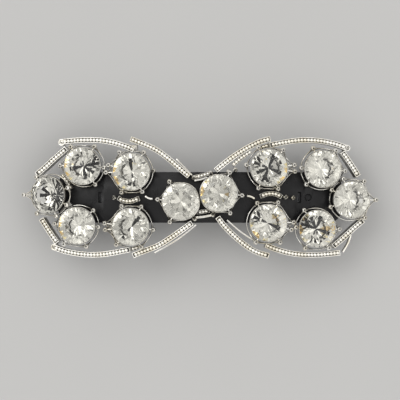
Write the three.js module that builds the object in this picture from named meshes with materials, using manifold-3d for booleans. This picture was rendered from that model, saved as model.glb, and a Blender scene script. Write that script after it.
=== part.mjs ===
// A bow-shaped rhinestone hair clip on a sprung barrette back.
// Millimetres. +X runs along the clip, +Y across it, +Z up through the stones.
// The origin is under the middle of the clip, on the surface that it lies on.

import * as THREE from 'three';
import { mergeVertices } from 'three/addons/utils/BufferGeometryUtils.js';
import Module from 'manifold-3d';

const wasm = await Module();
wasm.setup();

// ---- Driving sizes ----

// Stones and the cups that hold them
const STONE_DIAMETER = 7.15;
const STONE_CLEARANCE = 0.025;
const CUP_WALL = 0.2;
const TABLE_SHARE = 0.56;
const CROWN_HEIGHT = 1.3;
const GIRDLE_HEIGHT = 0.25;
const PAVILION_DEPTH = 3;
const CULET_GAP = 0.05;
const CUP_FLOOR = 0.1;
const CUP_FOOT_RADIUS = 1.5;
const CUP_SHOULDER_DROP = 0.4;
const CUP_SEAT_DROP = 0.1;
const CUP_RIM_RISE = 0.05;
const PRONG_REACH = 0.8;
const PRONG_BALL_RADIUS = 0.4;
const PRONG_STEM_RADIUS = 0.16;
const BENT_END_TILT = 13;
const END_REACH = 35.3;

// Rails, links and how high they stand on the bar
const RAIL_WIDTH = 1.1;
const RAIL_HEIGHT = 2.3;
const LINK_WIDTH = 0.6;
const LINK_HEIGHT = 1.8;
const CROSS_LINK_WIDTH = 0.9;
const WIRE_WIDTH = 0.32;
const DECOR_LIFT = 0.05;

// Barrette back
const ARCH_RADIUS = 140;
const BAR_LENGTH = 56;
const BAR_WIDTH = 10;
const BAR_THICKNESS = 0.9;
const BAR_CORNER = 2.5;
const BAR_UNDERSIDE = 8.4;
const EAR_THICKNESS = 0.8;
const EAR_TOP_HALF = 1.8;
const EAR_FOOT_HALF = 1.1;
const HINGE_INSET = 2;
const HINGE_HEIGHT = 1.5;
const PIN_RADIUS = 0.55;
const PIN_HEAD_RADIUS = 0.9;
const PIN_HEAD_HEIGHT = 0.45;
const PIN_CLEARANCE = 0.08;
const PIN_END_PLAY = 0.06;

const ARM_THICKNESS = 0.8;
const ARM_HALF_WIDTH = 2.3;
const ARM_SIDE_GAP = 0.3;
const ARM_MID_HEIGHT = 2.3;
const ARM_END_HEIGHT = 1.7;
const ARM_EYE_WALL = 0.43;
const WINDOW_HALF_LENGTH = 1.9;
const WINDOW_RAIL = 1.1;
const WINDOW_TAPER_START = 6;
const WINDOW_TAPER_END = 1.5;
const WINDOW_END_RAIL = 0.7;
const BEND_SETBACK = 0.5;
const BEND_EASE = 0.4;
const TAB_FLARE = 2;
const TAB_LENGTH = 1.3;
const TAB_HALF_WIDTH = 2.6;
const TAB_CORNER = 0.6;

const LATCH_INSET = 3.6;
const WEB_THICKNESS = 0.4;
const WEB_GAP = 0.04;
const WEB_SIDE_GAP = 0.15;
const WEB_END_MARGIN = 0.3;
const FINGER_INNER = 1.5;
const FINGER_THICKNESS = 0.5;
const FINGER_LENGTH = 2.8;
const FINGER_CLEARANCE = 0.2;
const BARB_OVERHANG = 0.35;
const BARB_DEPTH = 0.85;
const BARB_EDGE = 0.2;
const BARB_POINT_INSET = 0.25;
const BARB_TIP_EASE = 0.05;
const BARB_BACK_EASE = 0.1;
const BARB_HEADROOM = 0.12;
const FINGER_TOP_GAP = 0.1;
const RIVET_RADIUS = 0.6;
const RIVET_HEAD_RADIUS = 1.05;
const RIVET_HEAD_HEIGHT = 0.4;
const RIVET_CLEARANCE = 0.08;
const RIVET_SETBACK = 1.1;

const BOW_THICKNESS = 0.35;
const BOW_HALF_WIDTH = 2;
const BOW_HOOK_HALF_WIDTH = 0.9;
const BOW_HOOK_LENGTH = 0.4;
const BOW_TAPER_LENGTH = 3.5;
const BOW_HOOK_TOP_GAP = 0.15;
const BOW_STANDOFF = 0.5;
const BOW_END_GAP = 0.05;
const HOOK_CLEARANCE = 0.15;
const HOOK_SETBACK = 0.85;

// ---- Sizes that follow from them ----

const STONE_RADIUS = STONE_DIAMETER / 2;
const CUP_INNER_RADIUS = STONE_RADIUS + STONE_CLEARANCE;
const SETTING_RADIUS = CUP_INNER_RADIUS + CUP_WALL;
const CULET_HEIGHT = CUP_FLOOR + CULET_GAP;
const GIRDLE_BASE = CULET_HEIGHT + PAVILION_DEPTH;
const GIRDLE_TOP = GIRDLE_BASE + GIRDLE_HEIGHT;
const CUP_SHOULDER = GIRDLE_BASE - CUP_SHOULDER_DROP;
const CUP_SEAT = GIRDLE_BASE - CUP_SEAT_DROP;
const CUP_RIM = GIRDLE_TOP + CUP_RIM_RISE;
const CUP_SIDES = 20;
const SHANK_SIDES = 16;
const HEAD_FLAT_SHARE = 0.6;
const MERGE_DISTANCE = 1e-5;

// The plan and the bar under it are drawn for settings of this radius, and grow with the stones.
const DRAWN_SETTING_RADIUS = 3.8;
const PLAN_SCALE = SETTING_RADIUS / DRAWN_SETTING_RADIUS;
const BAR_HALF_LENGTH = (BAR_LENGTH / 2) * PLAN_SCALE;
const BAR_HALF_WIDTH = (BAR_WIDTH / 2) * PLAN_SCALE;

const ARCH_CENTRE = BAR_UNDERSIDE + BAR_THICKNESS - ARCH_RADIUS;
const HINGE_X = HINGE_INSET - BAR_HALF_LENGTH;
const LATCH_X = BAR_HALF_LENGTH - LATCH_INSET;
const EAR_INNER = ARM_HALF_WIDTH + ARM_SIDE_GAP;
const EAR_OUTER = EAR_INNER + EAR_THICKNESS;
const FINGER_OUTER = FINGER_INNER + FINGER_THICKNESS;
const WINDOW_HALF_WIDTH = FINGER_OUTER + FINGER_CLEARANCE;
const RIVET_X = LATCH_X - WINDOW_HALF_LENGTH - RIVET_SETBACK;
const HOOK_X = RIVET_X - RIVET_HEAD_RADIUS - HOOK_SETBACK;

// ---- Materials ----

const metal = (color, roughness) => new THREE.MeshStandardMaterial({ color, roughness, metalness: 1 });
const silver = metal(0xcfc8ba, 0.25);
const rimSilver = metal(0xdad6cc, 0.18);
const springSteel = metal(0x9aa0a6, 0.35);
const crystal = new THREE.MeshStandardMaterial({
  color: 0xf4f6fa, roughness: 0.03, metalness: 0.1, transparent: true, opacity: 0.8,
});
const blackLacquer = new THREE.MeshStandardMaterial({ color: 0x0b0b0d, roughness: 0.35, metalness: 0.2 });

// ---- Solids ----

function toSolid(geometry) {
  const bare = geometry.clone();
  bare.deleteAttribute('normal');
  bare.deleteAttribute('uv');
  const merged = mergeVertices(bare, MERGE_DISTANCE);
  const mesh = new wasm.Mesh({
    numProp: 3,
    vertProperties: new Float32Array(merged.attributes.position.array),
    triVerts: new Uint32Array(merged.index.array),
  });
  return new wasm.Manifold(mesh);
}

function toGeometry(solid) {
  const mesh = solid.getMesh();
  const geometry = new THREE.BufferGeometry();
  geometry.setAttribute('position', new THREE.BufferAttribute(new Float32Array(mesh.vertProperties), 3));
  geometry.setIndex(new THREE.BufferAttribute(new Uint32Array(mesh.triVerts), 1));
  geometry.computeVertexNormals();
  return geometry;
}

function join(first, ...others) {
  return others.reduce((whole, next) => whole.add(next), first);
}

// A closed outline in X and Z, pushed out along Y from one side to the other.
function sideExtrude(shape, fromY, toY, curveSegments = 12) {
  const geometry = new THREE.ExtrudeGeometry(shape, {
    depth: toY - fromY, bevelEnabled: false, curveSegments,
  });
  geometry.rotateX(Math.PI / 2);
  geometry.translate(0, toY, 0);
  return toSolid(geometry);
}

// A closed outline in X and Y, pushed up along Z.
function planExtrude(shape, fromZ, toZ, curveSegments = 6) {
  const geometry = new THREE.ExtrudeGeometry(shape, {
    depth: toZ - fromZ, bevelEnabled: false, curveSegments,
  });
  geometry.translate(0, 0, fromZ);
  return toSolid(geometry);
}

// A closed outline in Y and Z, pushed along X.
function endExtrude(shape, fromX, toX) {
  const geometry = new THREE.ExtrudeGeometry(shape, { depth: toX - fromX, bevelEnabled: false });
  const alongX = new THREE.Matrix4().makeBasis(
    new THREE.Vector3(0, 1, 0), new THREE.Vector3(0, 0, 1), new THREE.Vector3(1, 0, 0),
  );
  geometry.applyMatrix4(alongX);
  geometry.translate(fromX, 0, 0);
  return toSolid(geometry);
}

function box(fromX, toX, fromY, toY, fromZ, toZ) {
  const geometry = new THREE.BoxGeometry(toX - fromX, toY - fromY, toZ - fromZ);
  geometry.translate((fromX + toX) / 2, (fromY + toY) / 2, (fromZ + toZ) / 2);
  return toSolid(geometry);
}

// A round bar across the clip, along Y.
function crossBar(radius, halfLength, x, z) {
  const geometry = new THREE.CylinderGeometry(radius, radius, 2 * halfLength, SHANK_SIDES);
  geometry.translate(x, 0, z);
  return toSolid(geometry);
}

function turned(profile, sides = CUP_SIDES) {
  const points = profile.map(([radius, height]) => new THREE.Vector2(radius, height));
  const geometry = new THREE.LatheGeometry(points, sides);
  geometry.rotateX(Math.PI / 2);
  return toSolid(geometry);
}

// ---- The arch that everything is bent to ----

// The height over the table of a layer that lies `layer` above the bar's top face.
function archHeight(x, layer = 0) {
  const radius = ARCH_RADIUS + layer;
  return ARCH_CENTRE + Math.sqrt(radius * radius - x * x);
}

// A band between two layers of the arch, from one end to the other, as an outline in X and Z.
function archBand(lowLayer, highLayer, fromX, toX) {
  const high = ARCH_RADIUS + highLayer;
  const low = ARCH_RADIUS + lowLayer;
  const shape = new THREE.Shape();
  shape.absarc(0, ARCH_CENTRE, high, Math.acos(toX / high), Math.acos(fromX / high), false);
  shape.absarc(0, ARCH_CENTRE, low, Math.acos(fromX / low), Math.acos(toX / low), true);
  return shape;
}

// Bends a flat solid over the arch. Its plan stays true at the height `trueAt`.
function bendOverArch(geometry, trueAt) {
  const position = geometry.attributes.position;
  for (let i = 0; i < position.count; i += 1) {
    const angle = Math.asin(position.getX(i) / (ARCH_RADIUS + trueAt));
    const radius = ARCH_RADIUS + position.getZ(i);
    position.setX(i, radius * Math.sin(angle));
    position.setZ(i, ARCH_CENTRE + radius * Math.cos(angle));
  }
  geometry.computeVertexNormals();
  return geometry;
}

// Stands a mesh on the arch, so that its own height `height` comes over the plan point.
function standOnArch(mesh, x, y, height, extraTilt = 0) {
  const angle = Math.asin(x / (ARCH_RADIUS + height));
  const bend = THREE.MathUtils.degToRad(extraTilt);
  const tilt = angle + bend;
  const centre = new THREE.Vector3(x, y, ARCH_CENTRE + (ARCH_RADIUS + height) * Math.cos(angle));
  const down = new THREE.Vector3(-Math.sin(tilt), 0, -Math.cos(tilt)).multiplyScalar(height - DECOR_LIFT);
  mesh.position.copy(centre.add(down));
  mesh.position.z += footLift(Math.abs(mesh.position.x), Math.abs(bend));
  mesh.rotation.y = tilt;
  return mesh;
}

// A cup that leans over is raised by as much as the low side of its foot would sink into the bar.
function footLift(footX, bend) {
  const barUnderFoot = BAR_HALF_LENGTH - (footX - CUP_FOOT_RADIUS);
  const barPastMiddle = Math.min(barUnderFoot, 2 * CUP_FOOT_RADIUS) - CUP_FOOT_RADIUS;
  return Math.max(0, barPastMiddle) * Math.tan(bend);
}

// ---- Assembly ----

const clip = new THREE.Group();

function addPiece(name, geometry, material) {
  const mesh = new THREE.Mesh(geometry, material);
  mesh.name = name;
  clip.add(mesh);
  return mesh;
}

// ---- Rails and links: narrow walls that follow a line in plan ----

function ribbon(points, width, pieces) {
  const line = new THREE.SplineCurve(
    points.map(([x, y]) => new THREE.Vector2(x * PLAN_SCALE, y * PLAN_SCALE)),
  );
  const left = [];
  const right = [];
  for (let i = 0; i <= pieces; i += 1) {
    const at = line.getPointAt(i / pieces);
    const along = line.getTangentAt(i / pieces);
    const across = new THREE.Vector2(-along.y, along.x).multiplyScalar(width / 2);
    left.push(at.clone().add(across));
    right.push(at.clone().sub(across));
  }
  return new THREE.Shape([...right, ...left.reverse()]);
}

function addWall(name, points, width, height, pieces, material) {
  const solid = planExtrude(ribbon(points, width, pieces), DECOR_LIFT, DECOR_LIFT + height);
  addPiece(name, bendOverArch(toGeometry(solid), DECOR_LIFT + height), material);
}

const RIGHT_OUTER_RAILS = {
  top: [[14.6, 10.4], [19.1, 11.2], [23, 11.2], [26.5, 10.6], [29, 9.75]],
  outer_upper: [[28.75, 8.45], [29.8, 6.77], [31.3, 4.45]],
  outer_lower: [[32.15, -4.75], [30.5, -6], [28.6, -7.74], [26.6, -9.4]],
  bottom: [[13, -9.3], [14.5, -10], [17.3, -10.85], [20.1, -11.25], [23.9, -11.25], [27.7, -10.9]],
};

const INNER_RAILS = {
  rail_right_inner_upper: [[3.1, 5.25], [5.94, 7.52], [8.78, 9.39], [11.85, 10.95], [13.9, 11.5]],
  rail_right_inner_lower: [[3.5, -3.85], [5.02, -5.83], [7.83, -8.5], [10.67, -10.5], [13.6, -11.5]],
  rail_left_inner_upper: [[-2.1, 4.15], [-3.46, 5.26], [-6.3, 7.7], [-9.1, 9.6], [-13.64, 11.5]],
  rail_left_inner_lower: [[-1.5, -4.95], [-5.16, -7.56], [-8.17, -9.45], [-11, -10.55], [-13.2, -11.45]],
};

// The left lobe is the right one turned half round, so its upper rails are the right's lower ones.
const TURNED_NAMES = {
  top: 'bottom', bottom: 'top', outer_upper: 'outer_lower', outer_lower: 'outer_upper',
};

const halfTurn = ([x, y]) => [-x, -y];

function addRails() {
  for (const [name, points] of Object.entries(RIGHT_OUTER_RAILS)) {
    addWall(`rail_right_${name}`, points, RAIL_WIDTH, RAIL_HEIGHT, 10, silver);
    addWall(`rail_left_${TURNED_NAMES[name]}`, points.map(halfTurn), RAIL_WIDTH, RAIL_HEIGHT, 10, silver);
  }
  for (const [name, points] of Object.entries(INNER_RAILS)) {
    addWall(name, points, RAIL_WIDTH, RAIL_HEIGHT, 12, silver);
  }
}

const CROSS_LINK = [[11.9, 0.2], [13.6, 0.75], [15.1, 0.62], [16.1, 0.05]];
const CENTRE_LINK = [[9.3, 0.3], [10.1, 0.15], [10.75, -0.25]];

function addLinks() {
  addWall('waist_link_top', [[-1.15, 3.95], [0.4, 4.3], [1.95, 4.75]], LINK_WIDTH, LINK_HEIGHT, 5, silver);
  addWall('waist_link_bottom', [[-0.8, -3.95], [0.8, -3.8], [2.3, -3.5]], LINK_WIDTH, LINK_HEIGHT, 5, silver);
  for (const [side, turn] of [['right', (point) => point], ['left', halfTurn]]) {
    addWall(`cross_link_${side}`, CROSS_LINK.map(turn), CROSS_LINK_WIDTH, LINK_HEIGHT, 6, silver);
    addWall(`centre_link_${side}`, CENTRE_LINK.map(turn), WIRE_WIDTH, LINK_HEIGHT, 4, silver);
  }
}

// ---- Settings and stones ----

// Each setting of the right lobe: where its stone's middle comes in plan, and its ball-tipped prongs,
// each by its direction in degrees and how much further it reaches than the usual.
const RIGHT_SETTINGS = {
  centre: { at: [3.75, 0.8], prongs: [[-5, 0.1], [62, 0.1], [-60, 0]] },
  inner_upper: {
    at: [13.6, 5.79],
    prongs: [[6.5, 0.6], [-8, 0.7], [51, 0], [118, 0], [173, 0], [242, 0], [-66, 0]],
  },
  inner_lower: {
    at: [13.45, -5.02],
    prongs: [[1.6, 0.55], [-16.5, 0.25], [64, 0], [119, 0], [237, 0], [-58, 0]],
  },
  outer_upper: { at: [24.2, 5.58], prongs: [[177, -0.2], [115, 0], [54, 0], [-5, 0], [223, 0]] },
  outer_lower: { at: [23.1, -6.17], prongs: [[176, -0.25], [125, 0], [-1, 0], [-122, 0], [-58, 0]] },
  end: { at: [29.94, -0.5], prongs: [[55, 0], [112, 0], [154, 0], [198, 0], [-52, 0]] },
};

const CUP_PROFILE = [
  [0, 0],
  [CUP_FOOT_RADIUS, 0],
  [SETTING_RADIUS, CUP_SHOULDER],
  [SETTING_RADIUS, CUP_RIM],
  [CUP_INNER_RADIUS, CUP_RIM],
  [CUP_INNER_RADIUS, CUP_SEAT],
  [0, CUP_FLOOR],
];

const STONE_PROFILE = [
  [0, CULET_HEIGHT],
  [STONE_RADIUS, GIRDLE_BASE],
  [STONE_RADIUS, GIRDLE_TOP],
  [STONE_RADIUS * TABLE_SHARE, GIRDLE_TOP + CROWN_HEIGHT],
  [0, GIRDLE_TOP + CROWN_HEIGHT],
];

const PRONG_HEIGHT = CUP_RIM - PRONG_BALL_RADIUS;

function prong(direction, extraReach) {
  const root = CUP_INNER_RADIUS + CUP_WALL / 2;
  const tip = SETTING_RADIUS + PRONG_REACH + extraReach;
  const stem = new THREE.CylinderGeometry(PRONG_STEM_RADIUS, PRONG_STEM_RADIUS, tip - root, 6);
  stem.rotateZ(Math.PI / 2);
  stem.translate((root + tip) / 2, 0, PRONG_HEIGHT);
  const ball = new THREE.OctahedronGeometry(PRONG_BALL_RADIUS, 1);
  ball.translate(tip, 0, PRONG_HEIGHT);
  const angle = THREE.MathUtils.degToRad(direction);
  return join(toSolid(stem.rotateZ(angle)), toSolid(ball.rotateZ(angle)));
}

// The prong at each end of the clip reaches out to the clip's full length, however its setting leans.
function endProngReach(x, tilt) {
  const level = (GIRDLE_TOP - PRONG_HEIGHT) * Math.sin(tilt);
  const outward = (END_REACH * PLAN_SCALE - PRONG_BALL_RADIUS - x + level) / Math.cos(tilt);
  return outward - SETTING_RADIUS - PRONG_REACH;
}

function addSetting(place, [drawnX, drawnY], prongs, turn, extraTilt) {
  const x = drawnX * PLAN_SCALE;
  const y = drawnY * PLAN_SCALE;
  const cup = join(turned(CUP_PROFILE), ...prongs.map(([way, extra]) => prong(way + turn, extra)));
  const setting = addPiece(`setting_${place}`, toGeometry(cup), rimSilver);
  const stone = addPiece(`stone_${place}`, toGeometry(turned(STONE_PROFILE)), crystal);
  standOnArch(setting, x, y, GIRDLE_TOP, extraTilt);
  standOnArch(stone, x, y, GIRDLE_TOP, extraTilt);
}

const TURNED_PLACES = {
  centre: 'centre',
  inner_upper: 'inner_lower', inner_lower: 'inner_upper',
  outer_upper: 'outer_lower', outer_lower: 'outer_upper',
};

function addSettings() {
  for (const [place, { at, prongs }] of Object.entries(RIGHT_SETTINGS)) {
    if (place !== 'end') {
      addSetting(`right_${place}`, at, prongs, 0, 0);
      addSetting(`left_${TURNED_PLACES[place]}`, halfTurn(at), prongs, 180, 0);
    }
  }
  const { at, prongs } = RIGHT_SETTINGS.end;
  const x = at[0] * PLAN_SCALE;
  const lean = Math.asin(x / (ARCH_RADIUS + GIRDLE_TOP));
  const bentLean = lean + THREE.MathUtils.degToRad(BENT_END_TILT);
  addSetting('right_end', at, [[0, endProngReach(x, lean)], ...prongs], 0, 0);
  addSetting('left_end', halfTurn(at), [[0, endProngReach(x, bentLean)], ...prongs], 180, -BENT_END_TILT);
}

// ---- Barrette back ----

function roundedPlan(halfLength, halfWidth, corner) {
  const shape = new THREE.Shape();
  shape.absarc(halfLength - corner, halfWidth - corner, corner, 0, Math.PI / 2, false);
  shape.absarc(corner - halfLength, halfWidth - corner, corner, Math.PI / 2, Math.PI, false);
  shape.absarc(corner - halfLength, corner - halfWidth, corner, Math.PI, Math.PI * 1.5, false);
  shape.absarc(halfLength - corner, corner - halfWidth, corner, Math.PI * 1.5, Math.PI * 2, false);
  return shape;
}

// The rivet stands square to the arch, with its head under the web and its end just below the bar's top.
function rivetSolid() {
  const seat = -BAR_THICKNESS - 2 * WEB_GAP - WEB_THICKNESS;
  const geometry = toGeometry(turned([
    [0, seat - RIVET_HEAD_HEIGHT],
    [RIVET_HEAD_RADIUS * HEAD_FLAT_SHARE, seat - RIVET_HEAD_HEIGHT],
    [RIVET_HEAD_RADIUS, seat - RIVET_HEAD_HEIGHT / 2],
    [RIVET_HEAD_RADIUS, seat],
    [RIVET_RADIUS, seat],
    [RIVET_RADIUS, -DECOR_LIFT],
    [0, -DECOR_LIFT],
  ], SHANK_SIDES));
  geometry.rotateY(Math.asin(RIVET_X / ARCH_RADIUS));
  geometry.translate(RIVET_X, 0, archHeight(RIVET_X));
  return geometry;
}

function rivetHole() {
  const geometry = new THREE.CylinderGeometry(
    RIVET_RADIUS + RIVET_CLEARANCE, RIVET_RADIUS + RIVET_CLEARANCE, 4 * BAR_THICKNESS, SHANK_SIDES,
  );
  geometry.rotateX(Math.PI / 2);
  geometry.rotateY(Math.asin(RIVET_X / ARCH_RADIUS));
  geometry.translate(RIVET_X, 0, archHeight(RIVET_X));
  return toSolid(geometry);
}

function ear(side) {
  const aboveBar = archBand(-BAR_THICKNESS / 2, BAR_UNDERSIDE, -2 * BAR_HALF_LENGTH, 0);
  const shape = new THREE.Shape([
    new THREE.Vector2(HINGE_X - EAR_FOOT_HALF, 0),
    new THREE.Vector2(HINGE_X + EAR_FOOT_HALF, 0),
    new THREE.Vector2(HINGE_X + EAR_TOP_HALF, HINGE_HEIGHT * 2),
    new THREE.Vector2(HINGE_X + EAR_TOP_HALF, BAR_UNDERSIDE),
    new THREE.Vector2(HINGE_X - EAR_TOP_HALF, BAR_UNDERSIDE),
    new THREE.Vector2(HINGE_X - EAR_TOP_HALF, HINGE_HEIGHT * 2),
  ]);
  const [near, far] = side > 0 ? [EAR_INNER, EAR_OUTER] : [-EAR_OUTER, -EAR_INNER];
  return sideExtrude(shape, near, far).subtract(sideExtrude(aboveBar, -BAR_HALF_WIDTH, BAR_HALF_WIDTH, 24));
}

function hookSlot(side) {
  const inner = HOOK_X - HOOK_CLEARANCE;
  const outer = HOOK_X + BOW_THICKNESS + HOOK_CLEARANCE;
  const half = BOW_HOOK_HALF_WIDTH + HOOK_CLEARANCE;
  const low = archHeight(HOOK_X, -4 * BAR_THICKNESS);
  const high = archHeight(HOOK_X, 4 * BAR_THICKNESS);
  return side > 0 ? box(inner, outer, -half, half, low, high) : box(-outer, -inner, -half, half, low, high);
}

function addBar() {
  const arch = archBand(-BAR_THICKNESS, 0, -BAR_HALF_LENGTH, BAR_HALF_LENGTH);
  const band = sideExtrude(arch, -BAR_HALF_WIDTH, BAR_HALF_WIDTH);
  const outline = roundedPlan(BAR_HALF_LENGTH, BAR_HALF_WIDTH, BAR_CORNER);
  const plan = planExtrude(outline, 0, 2 * BAR_UNDERSIDE, 4);
  const pinHole = crossBar(PIN_RADIUS + PIN_CLEARANCE, BAR_WIDTH, HINGE_X, HINGE_HEIGHT);
  const bar = join(band.intersect(plan), ear(1), ear(-1))
    .subtract(pinHole)
    .subtract(rivetHole())
    .subtract(hookSlot(1))
    .subtract(hookSlot(-1));
  addPiece('base_bar', toGeometry(bar), blackLacquer);
}

function addHingePin() {
  const shank = EAR_OUTER + PIN_END_PLAY;
  const end = shank + PIN_HEAD_HEIGHT;
  const geometry = toGeometry(turned([
    [0, -end],
    [PIN_HEAD_RADIUS * HEAD_FLAT_SHARE, -end],
    [PIN_HEAD_RADIUS, -shank - PIN_HEAD_HEIGHT / 2],
    [PIN_HEAD_RADIUS, -shank],
    [PIN_RADIUS, -shank],
    [PIN_RADIUS, shank],
    [PIN_HEAD_RADIUS, shank],
    [PIN_HEAD_RADIUS, shank + PIN_HEAD_HEIGHT / 2],
    [PIN_HEAD_RADIUS * HEAD_FLAT_SHARE, end],
    [0, end],
  ], SHANK_SIDES));
  geometry.rotateX(Math.PI / 2);
  addPiece('hinge_pin', geometry, springSteel).position.set(HINGE_X, 0, HINGE_HEIGHT);
}

// ---- Clasp arm: a long flat arm with an eye at the hinge and a window at the latch ----

const ARM_MID_X = (HINGE_X + LATCH_X) / 2;
const ARM_HALF_SPAN = (LATCH_X - HINGE_X) / 2;
const ARM_RISE = ARM_MID_HEIGHT - ARM_END_HEIGHT;
const ARM_RADIUS = (ARM_HALF_SPAN * ARM_HALF_SPAN + ARM_RISE * ARM_RISE) / (2 * ARM_RISE);
const ARM_CENTRE = ARM_MID_HEIGHT - ARM_RADIUS;
const WINDOW_START = LATCH_X - WINDOW_HALF_LENGTH;
const WINDOW_END = LATCH_X + WINDOW_HALF_LENGTH;

function armHeight(x, offset) {
  const radius = ARM_RADIUS + offset;
  const along = x - ARM_MID_X;
  return ARM_CENTRE + Math.sqrt(radius * radius - along * along);
}

function armSide() {
  const high = ARM_RADIUS + ARM_THICKNESS / 2;
  const low = ARM_RADIUS - ARM_THICKNESS / 2;
  const bend = WINDOW_END + BEND_SETBACK;
  const tab = bend + ARM_END_HEIGHT;
  const angle = (x, radius) => Math.acos((x - ARM_MID_X) / radius);
  const shape = new THREE.Shape();
  shape.absarc(ARM_MID_X, ARM_CENTRE, high, angle(bend, high), angle(HINGE_X, high), false);
  shape.absarc(ARM_MID_X, ARM_CENTRE, low, angle(HINGE_X, low), angle(bend - BEND_EASE, low), true);
  shape.lineTo(tab - BEND_EASE, 0);
  shape.lineTo(tab + TAB_LENGTH, 0);
  shape.lineTo(tab + TAB_LENGTH, ARM_THICKNESS);
  shape.lineTo(tab, ARM_THICKNESS);
  return { shape, end: tab + TAB_LENGTH };
}

function armPlan(end) {
  const windowHalf = WINDOW_HALF_WIDTH + WINDOW_RAIL;
  const half = [
    [HINGE_X - 3 * PIN_RADIUS, ARM_HALF_WIDTH],
    [WINDOW_START - WINDOW_TAPER_START, ARM_HALF_WIDTH],
    [WINDOW_START - WINDOW_TAPER_END, windowHalf],
    [WINDOW_END + WINDOW_END_RAIL, windowHalf],
    [WINDOW_END + TAB_FLARE, TAB_HALF_WIDTH],
    [end - TAB_CORNER, TAB_HALF_WIDTH],
    [end, TAB_HALF_WIDTH - TAB_CORNER],
  ];
  const upper = half.map(([x, y]) => new THREE.Vector2(x, y));
  const lower = half.map(([x, y]) => new THREE.Vector2(x, -y)).reverse();
  return new THREE.Shape([...upper, ...lower]);
}

function addArm() {
  const { shape, end } = armSide();
  const reach = WINDOW_HALF_WIDTH + 2 * WINDOW_RAIL;
  const eyeRadius = PIN_RADIUS + PIN_CLEARANCE + ARM_EYE_WALL;
  const eye = crossBar(eyeRadius, ARM_HALF_WIDTH, HINGE_X, HINGE_HEIGHT);
  const strip = sideExtrude(shape, -reach, reach, 10).intersect(planExtrude(armPlan(end), -1, BAR_UNDERSIDE));
  const arm = join(strip, eye)
    .subtract(crossBar(PIN_RADIUS + PIN_CLEARANCE, BAR_WIDTH, HINGE_X, HINGE_HEIGHT))
    .subtract(box(WINDOW_START, WINDOW_END, -WINDOW_HALF_WIDTH, WINDOW_HALF_WIDTH, -1, BAR_UNDERSIDE));
  addPiece('clasp_arm', toGeometry(arm), blackLacquer);
}

// ---- Latch: a web riveted under the bar, and two spring fingers that pass through the window ----

const FINGER_START = LATCH_X - FINGER_LENGTH / 2;
const FINGER_END = LATCH_X + FINGER_LENGTH / 2;
const BARB_TOP = armHeight(LATCH_X, -ARM_THICKNESS / 2) - BARB_HEADROOM;

function addLatch() {
  const webHalf = FINGER_INNER - WEB_SIDE_GAP;
  const webStart = RIVET_X - RIVET_HEAD_RADIUS - WEB_END_MARGIN;
  const webEnd = FINGER_END + WEB_END_MARGIN;
  const top = -BAR_THICKNESS - WEB_GAP;
  const webSide = archBand(top - WEB_THICKNESS, top, webStart, webEnd);
  const web = sideExtrude(webSide, -webHalf, webHalf, 5).subtract(rivetHole());
  addPiece('latch_web', toGeometry(web), springSteel);
  addPiece('latch_rivet', rivetSolid(), springSteel);
  const barOver = archBand(
    -BAR_THICKNESS - FINGER_TOP_GAP, BAR_UNDERSIDE, FINGER_START - FINGER_LENGTH, FINGER_END + FINGER_LENGTH,
  );
  for (const [name, side] of [['latch_finger_upper', 1], ['latch_finger_lower', -1]]) {
    const barbTip = BARB_TOP - BARB_DEPTH;
    const outline = [
      [FINGER_INNER, BAR_UNDERSIDE],
      [FINGER_INNER, BARB_TOP - BARB_BACK_EASE],
      [FINGER_INNER + BARB_POINT_INSET, barbTip],
      [FINGER_OUTER - BARB_TIP_EASE, barbTip],
      [WINDOW_HALF_WIDTH + BARB_OVERHANG, BARB_TOP - BARB_EDGE],
      [WINDOW_HALF_WIDTH + BARB_OVERHANG, BARB_TOP],
      [FINGER_OUTER, BARB_TOP],
      [FINGER_OUTER, BAR_UNDERSIDE],
    ];
    const shape = new THREE.Shape(outline.map(([y, z]) => new THREE.Vector2(y * side, z)));
    const finger = endExtrude(shape, FINGER_START, FINGER_END)
      .subtract(sideExtrude(barOver, -BAR_WIDTH, BAR_WIDTH, 5));
    addPiece(name, toGeometry(finger), springSteel);
  }
}

// ---- Bow spring: a flatter leaf under the bar that presses on the hair ----

function addBow() {
  const endHeight = archHeight(HOOK_X, -BAR_THICKNESS) - BOW_END_GAP;
  const midHeight = BAR_UNDERSIDE - BOW_STANDOFF - BOW_END_GAP;
  const rise = midHeight - endHeight;
  const radius = (HOOK_X * HOOK_X + rise * rise) / (2 * rise);
  const centre = midHeight - radius;
  const low = radius - BOW_THICKNESS;
  const hookTop = archHeight(HOOK_X) - BOW_HOOK_TOP_GAP;
  const outer = HOOK_X + BOW_THICKNESS;
  const shape = new THREE.Shape();
  shape.moveTo(outer, hookTop);
  shape.lineTo(HOOK_X, hookTop);
  shape.absarc(0, centre, radius, Math.acos(HOOK_X / radius), Math.acos(-HOOK_X / radius), false);
  shape.lineTo(-HOOK_X, hookTop);
  shape.lineTo(-outer, hookTop);
  shape.absarc(0, centre, low, Math.acos(-outer / low), Math.acos(outer / low), true);
  const halfPlan = [
    [outer + BOW_HOOK_LENGTH, BOW_HOOK_HALF_WIDTH],
    [HOOK_X - BOW_HOOK_LENGTH, BOW_HOOK_HALF_WIDTH],
    [HOOK_X - BOW_TAPER_LENGTH, BOW_HALF_WIDTH],
  ];
  const right = halfPlan.map(([x, y]) => new THREE.Vector2(x, y));
  const left = halfPlan.map(([x, y]) => new THREE.Vector2(-x, y)).reverse();
  const below = [...right, ...left].map((point) => new THREE.Vector2(point.x, -point.y)).reverse();
  const plan = planExtrude(new THREE.Shape([...right, ...left, ...below]), 0, 2 * BAR_UNDERSIDE);
  const bow = sideExtrude(shape, -2 * BOW_HALF_WIDTH, 2 * BOW_HALF_WIDTH, 10).intersect(plan);
  addPiece('bow_spring', toGeometry(bow), springSteel);
}

addRails();
addLinks();
addSettings();
addBar();
addHingePin();
addArm();
addLatch();
addBow();

export default clip;
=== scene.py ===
"""A bow-shaped rhinestone hair clip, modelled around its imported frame, on a pale floor."""
import math
import random

import bpy
from mathutils import Matrix, Vector


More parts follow.
